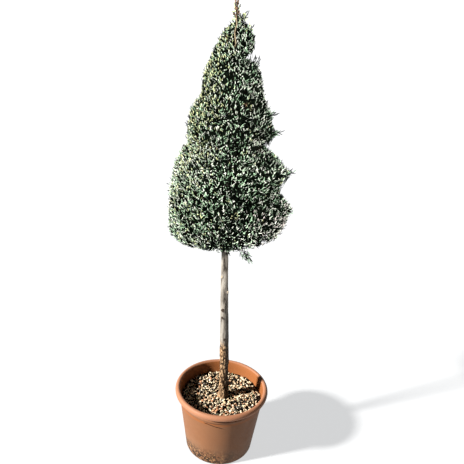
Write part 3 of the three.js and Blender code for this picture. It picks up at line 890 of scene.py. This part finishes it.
def twig_paths(boughs, limbs, lit, dark, loose):
    """Twigs from the nearest limbs to the sprays, where the foliage covers them."""
    leader = about_trunk(0, 0, np.linspace(1290, 1470, 19))
    carriers = np.concatenate([boughs[:, 2:].reshape(-1, 3), limbs[:, 1:].reshape(-1, 3), leader])
    roots = np.concatenate([lit.roots, dark.roots, loose.roots])
    forward = np.concatenate([lit.forward, dark.forward, loose.forward])
    gaps = roots[:, None] - carriers[None]
    cost = size_of(gaps) + 0.8 * np.maximum(0, -gaps[..., 2])
    starts = carriers[np.argmin(cost, axis=1)]
    sag = 0.12 * size_of(roots - starts)[:, None] * forward
    twigs = np.stack([starts, lerp(starts, roots, 0.55) - sag, roots + 4 * forward], axis=1)
    covered = np.all([sheared(twigs[:, point], 16) for point in range(3)], axis=0)
    covered[1 : len(lit.roots) : 2] = False
    covered[-len(loose.roots) :] = True
    return twigs[covered]


def make_limbs(bark, boughs, limbs, twigs):
    thick = np.where(np.array([mass.inner for mass in MASSES]) > 20, THICK_BOUGH, THIN_BOUGH)[:, None]
    parts = [tubes(boughs, np.linspace(1, 0.5, BOUGH_POINTS) * thick, 9), tubes(*bare_shoot(), 7)]
    piece("boughs", parts, bark, BOUGH_NODES)
    parts = [tubes(limbs, LIMB_RADII, 5), tubes(twigs, TWIG_RADII, 3)]
    # Twig bark painted near-black, darker than the bark is, as the shade inside the crown.
    paint = toned("twig_bark_painted_shade", (0.020, 0.013, 0.009), 0.9, 0.35, 200, 0.02)
    piece("twigs", parts, paint, FOLIAGE_NODES)


# Sprays


def spray_pattern(seed, branchlets, first, branchlet_length, thick):
    """One spray along +Z: roots, tips, radii and branchlet numbers of all its blades, -1 for the stem."""
    dice = np.random.default_rng(seed)
    rows, numbers = [((0, 0, 0), (0, 0, SPRAY_LENGTH - 12), STEM_RADIUS)], [-1]
    for number in range(branchlets):
        share = number / max(1, branchlets - 1)
        root = np.array([0, 0, lerp(first, 0.76, share) * SPRAY_LENGTH])
        turn = number * GOLDEN_TURN + dice.normal(0, 0.25)
        opened = math.radians(lerp(42, 25, share) + dice.normal(0, 10))
        length = branchlet_length * dice.uniform(0.75, 1.25)
        tip = root + length * polar(turn, math.sin(opened), math.cos(opened))
        rows.append((root, tip, BRANCHLET_RADIUS))
        numbers.append(number)
    roots, tips, radii = zip(*rows)
    return np.array(roots), np.array(tips), thick * np.array(radii), np.array(numbers)


# Forks make the surface, plumes the loose shoots and stout sprays the painted shade behind.
FORKS = [spray_pattern(seed, 2 + (seed % 3 == 0), 0.64, 11, 1.0) for seed in range(18)]
PLUMES = [spray_pattern(seed, 9, 0.2, 14.5, 1.5) for seed in range(20, 24)]
STOUT_SPRAYS = [spray_pattern(seed, 10, 0.4, 14.5, 3.3) for seed in range(40, 44)]


def joined(rows):
    """Sprays joined from rows of tips, headings, lengths, pairs of tones and shares of shade."""
    tips, forward, length, tones, painted_shade = map(np.concatenate, zip(*rows))
    roots = tips - length[:, None] * forward
    return SimpleNamespace(roots=roots, forward=forward, length=length, tones=tones, painted_shade=painted_shade)


def low_right(tips, turn):
    """1 on the lower right of the crown, painted pale there as light, 0 elsewhere."""
    return ease(np.cos(turn), 0.2, 0.8) * ease(tips[:, 2], 1000, 900)


def dealt_tones(tips, turn):
    """A main and a second tone for each spray, in patches, with painted light: warmer on the sunlit left and
    above, paler near the top, near-white on the lower right.
    """
    count, height = len(tips), tips[:, 2]
    # Patches by noise; near the top the patch value falls, so more sprays take the pale silver tone as
    # painted light.
    patch = noise(tips / 70, 11) + RANDOM.normal(0, 0.16, count) - 0.12 * ease(height, 1320, 1400)
    left = ease(-np.cos(turn), -0.2, 0.9)
    # Painted light: warmer tones on the sunlit left, most of all higher up.
    sunlit_warmth = 0.14 * left + 0.42 * left * ease(height, 1000, 1250) + 0.02
    luck = chance(count)
    main = np.full(count, GLAUCOUS)
    main[patch > 0.58] = GREEN
    main[patch < 0.40] = SILVER
    main[luck < sunlit_warmth] = OLIVE
    # Painted light: near-white lit blush sprays on the lower right.
    main[luck > 1 - 0.75 * low_right(tips, turn)] = LIT_BLUSH
    main[luck < 0.25 * sunlit_warmth] = STRAW
    main[luck > 0.996] = DRY
    for degrees, level, size, tone in SPOTS:
        at = math.radians(degrees)
        spot = about_trunk(at, reach(at, level), level)
        main[size_of(tips - spot) < size] = tone
    second = np.full(count, SILVER)
    for tone, other in ((OLIVE, STRAW), (SILVER, GLAUCOUS), (DRY, DRY)):
        second[main == tone] = other
    main[main == DRY] = OLIVE
    return np.stack([main, second], axis=-1)


def dealt_painted_shade(tips, turn):
    """The further share of each spray's branchlets in painted shade, set by where the sun's shade falls:
    least on the left and the lower right.
    """
    height = tips[:, 2]
    # Painted shade: more in the middle and on the right, away from the sun, at the grazing sides and at the
    # top; less on the lower left.
    dim = ease(np.cos(turn), -0.9, 0.1) * ease(height, 1420, 1330) - 0.55 * low_right(tips, turn)
    side = ease(np.abs(np.cos(turn)), 0.5, 0.95)
    left = ease(-np.cos(turn), -0.1, 0.6) * lerp(-0.1, 0.08, ease(height, 1060, 1200))
    top = ease(height, 1280, 1350)
    return 0.37 * dim + 0.13 * side + left + 0.07 * top


def layer_spread(mass, layer, density):
    """Turns and shares of the height of an even spread of sprays over a mass, thinner at the sides."""
    shares, way, mean = mass.profile()
    crowding = np.clip(1.55 - mean / 150, 0.75, 1.5)
    count = int(2 * mass.half * mean * way[-1] / SQUARE_DECIMETRE * density * crowding)
    number = np.arange(count) + 40 * layer
    across = (0.5 + number * SPACING_U + RANDOM.uniform(-0.02, 0.02, count)) % 1
    along = (0.5 + number * SPACING_V + RANDOM.uniform(-0.02, 0.02, count)) % 1
    level = np.interp(along * way[-1], way, shares)
    turn = mass.middle + mass.half * (2 * across - 1)
    kept = chance(count) > 0.15 * ease(np.abs(np.cos(turn)), 0.6, 1)
    return turn[kept], level[kept]


def layer_sprays(mass, layer):
    """One layer of a mass: tips, headings, lengths, tones and gloom of its sprays."""
    share, spread, density, dark = LAYERS[layer]
    turn, level = layer_spread(mass, layer, density)
    count = len(turn)
    outline = mass.outline(turn, level)
    height = mass.height(turn, outline, level)
    lump = noise(about_trunk(turn, outline, height) / 58, 17) - 0.5
    proud = PROUD_BY * (chance(count) < PROUD_SHARE)
    radius = outline * (share + RANDOM.normal(0, spread, count) + 0.09 * lump + proud)
    radius = radius - hollowed(turn, outline, height)
    tips = about_trunk(turn, radius, height)
    rise = lerp(52, 64, ease(height, 790, 1420)) + 50 * (noise(tips / SWAY_SIZE, 41) - 0.5)
    rise = rise - 36 * ease(height, 870, 790) + RANDOM.normal(0, 10, count)
    lean = 90 * (noise(tips / SWAY_SIZE, 43) - 0.5) + RANDOM.normal(0, 13, count)
    length = np.clip(0.2 * outline + 18, 38, SPRAY_LENGTH) * RANDOM.uniform(0.85, 1.1, count)
    # Dark layers take the near-black deep tone, painted shade inside the crown.
    tones = np.full((count, 2), DEEP_SHADE) if dark else dealt_tones(tips, turn)
    return tips, heading(turn, rise, lean), length, tones, dealt_painted_shade(tips, turn)


def underside_sprays():
    """Sprays that close the crown from below."""
    count = UNDERSIDE_SPRAYS
    number = np.arange(count)
    turn = number * GOLDEN_TURN
    radius = np.sqrt(lerp(0.05, 1, number / count)) * 152
    tips = about_trunk(turn, radius, underside(turn, radius) + RANDOM.normal(3, 4, count))
    rise, lean = RANDOM.normal(-8, 16, count), RANDOM.normal(0, 25, count)
    length = RANDOM.uniform(36, 50, count)
    return tips, heading(turn, rise, lean), length, dealt_tones(tips, turn), dealt_painted_shade(tips, turn)


def crown_sprays(deep):
    """The sprays of the lit surface, or those in the dark behind it."""
    layers = [layer for layer, (*_, dark) in enumerate(LAYERS) if dark == deep]
    rows = [layer_sprays(mass, layer) for mass in MASSES for layer in layers]
    return joined(rows if deep else [*rows, underside_sprays()])


def loose_sprays():
    """The loose shoots, and the short ones that clothe the leader, brown towards its tip."""
    rows = []
    turn, height, radius, rise, length = np.array(SHOOTS).T
    turn = np.radians(turn)
    tones = np.where(height[:, None] > 1410, [OLIVE, SHADE], [GREEN, SHADE])
    for lean, lift, back in SHOOT_SPRAYS:
        tips = about_trunk(turn, radius - back, height + 0.4 * lift)
        rows.append((tips, heading(turn, rise + lift, lean), length, tones, 0 * turn))
    share = np.linspace(0, 1, LEADER_SHOOTS)
    turn = np.arange(LEADER_SHOOTS) * GOLDEN_TURN
    green = share[:, None] < LEADER_GREEN
    tones = np.where(green, [GLAUCOUS, OLIVE], [DRY, OLIVE])
    tips = about_trunk(turn, lerp(26, 7, share**0.6), lerp(LEADER_LOW, LEADER_HIGH, share))
    rows.append((tips, heading(turn, lerp(48, 70, share), 0), lerp(34, 20, share), tones, 0 * turn))
    return joined(rows)


# Leaves


def branchlet_tones(sprays, chosen, branchlet):
    """The tone of every blade of the chosen sprays: one of the spray's two tones, or shade."""
    count = branchlet.max() + 1
    tones = sprays.tones[chosen]
    second = chance(chosen.sum(), count) < SECOND_SHARE
    dealt = np.where(second, tones[:, 1:], tones[:, :1])
    shaded = lerp(np.linspace(SHADED_LOW, SHADED_HIGH, count), 1, sprays.painted_shade[chosen][:, None])
    low = chance(*dealt.shape) < shaded
    dealt = np.where(low & (dealt != DEEP_SHADE), SHADE, dealt)
    return np.where(branchlet < 0, SHADE, dealt[:, np.maximum(branchlet, 0)])


def blades_of(sprays, patterns, least):
    """Roots, tips, radii and tones of the sprays' blades, none under the least share of its full radius."""
    across, over = frames(sprays.forward)
    spin = RANDOM.uniform(0, FULL_TURN, len(across))[:, None]
    across, over = np.cos(spin) * across + np.sin(spin) * over, np.cos(spin) * over - np.sin(spin) * across
    basis = np.stack([across, over, sprays.forward], axis=1)
    which = RANDOM.integers(0, len(patterns), len(across))
    made = []
    for number, (start, end, thick, branchlet) in enumerate(patterns):
        chosen = which == number
        scale = (sprays.length[chosen] / SPRAY_LENGTH)[:, None, None]
        foot = sprays.roots[chosen][:, None]
        roots = foot + scale * (start @ basis[chosen])
        tips = foot + scale * (end @ basis[chosen])
        radii = np.clip(scale[..., 0], least, None) * thick
        tones = branchlet_tones(sprays, chosen, branchlet)
        made.append((roots.reshape(-1, 3), tips.reshape(-1, 3), radii.ravel(), tones.ravel()))
    return [np.concatenate(column) for column in zip(*made)]


def make_leaves(lit, dark, loose):
    columns = zip(blades_of(lit, FORKS, 0.8), blades_of(dark, STOUT_SPRAYS, 0.8))
    clipped = [np.concatenate(pair) for pair in columns]
    kept = sheared(clipped[0]) & sheared(clipped[1])
    columns = zip((column[kept] for column in clipped), blades_of(loose, PLUMES, 1.0))
    roots, tips, radii, tones = (np.concatenate(pair) for pair in columns)
    for tone, (name, colour) in enumerate(TONES.items()):
        chosen = np.flatnonzero(tones == tone)
        # Painted shade gets no sheen, so that it stays black.
        roughness, specular = (0.9, 0) if tone in (SHADE, DEEP_SHADE) else (0.62, 0.3)
        paint = toned(f"leaf_{name}", colour, roughness, 0.2, 150, specular)
        for part, first in enumerate(range(0, len(chosen), PIECE_BLADES)):
            some = chosen[first : first + PIECE_BLADES]
            full = (radii[some] > STOUT) & (tone != DEEP_SHADE)
            parts = [
                blades(roots[which], tips[which], radii[which], waists)
                for which, waists in ((some[full], STOUT_WAISTS), (some[~full], FINE_WAISTS))
            ]
            piece(f"leaves_{name}_{part + 1}", parts, paint, FOLIAGE_NODES)


def make_crown(bark):
    boughs, limbs = limb_paths()
    lit, dark, loose = crown_sprays(False), crown_sprays(True), loose_sprays()
    make_limbs(bark, boughs, limbs, twig_paths(boughs, limbs, lit, dark, loose))
    make_leaves(lit, dark, loose)


# Studio


def floor_paint():
    """Pale paper over a light table, so that shadows on it stay faint."""
    paint = Paint("floor_paper", 0.9, 0.1)
    paper = paint.ramp(paint.grain(3), (0.3, (0.178, 0.182, 0.188)), (0.7, (0.185, 0.19, 0.196)))
    paint.put("Base Color", paper)
    paint.put("Emission Color", (0.98, 0.99, 1, 1))
    paint.put("Emission Strength", 0.64)
    return paint.material


def make_floor():
    """A pale floor that curves up far behind the plant."""
    curve = arc((6000, 3000), (3000, 3000), math.degrees(0.1) - 90, math.degrees(1.5) - 90, 14)
    run = [(-9000, 0), (6000, 0), *curve, (9100, 7000)]
    across = np.linspace(-9000, 9000, 19)
    places = np.array([(x, y, z) for y, z in run for x in across])
    faces = grid_faces(len(run), len(across)).reshape(-1, len(across), 4)[:, :-1]
    floor = mesh_object("studio_floor", [(places, [faces])], floor_paint())


def make_lamp(name, kind, energy, colour, towards):
    """A lamp that shines from the direction towards it."""
    lamp = bpy.data.lights.new(name, kind)
    lamp.energy = energy
    lamp.color = colour
    made = placed(name, lamp)
    made.rotation_euler = towards.to_track_quat("Z", "Y").to_euler()
    return made


def make_light():
    """A soft sun from the left, a faint sky and a lamp that fills the right of the crown."""
    world = bpy.data.worlds.new("studio")
    world.use_nodes = True
    background = world.node_tree.nodes["Background"]
    background.inputs["Color"].default_value = (0.92, 0.96, 1.0, 1)
    background.inputs["Strength"].default_value = 0.07
    bpy.context.scene.world = world
    towards = Vector(heading(FRONT, SUN_RISE, -SUN_SIDE))
    key = make_lamp("key", "SUN", 13.2, (1.0, 0.975, 0.935), towards)
    key.data.angle = math.radians(4.5)
    fill = make_lamp("fill", "SPOT", 430, (1.0, 0.96, 0.93), FILL_PLACE - FILL_AIM)
    fill.location = FILL_PLACE
    fill.data.spot_size = math.radians(32)
    fill.data.spot_blend = 0.7
    fill.data.shadow_soft_size = 0.2


def make_camera():
    """The photograph's standpoint: level with the top of the crown, tipped down and rolled slightly."""
    data = bpy.data.cameras.new("camera")
    data.sensor_width = 36
    data.lens = data.sensor_width * FOCAL_PIXELS / PHOTO_WIDTH
    data.shift_x = SHIFT_PIXELS / PHOTO_WIDTH
    camera = placed("camera", data)
    tipped = Matrix.Rotation(math.radians(90 - CAMERA_DOWN), 4, "X")
    rolled = Matrix.Rotation(math.radians(CAMERA_ROLL), 4, "Z")
    camera.matrix_world = Matrix.Translation(CAMERA_PLACE) @ tipped @ rolled
    bpy.context.scene.camera = camera


make_pot()
make_gravel()
bark_material = bark_paint()
make_trunk(bark_material)
make_crown(bark_material)
make_floor()
make_light()
make_camera()
bpy.context.scene.view_settings.view_transform = "Standard"
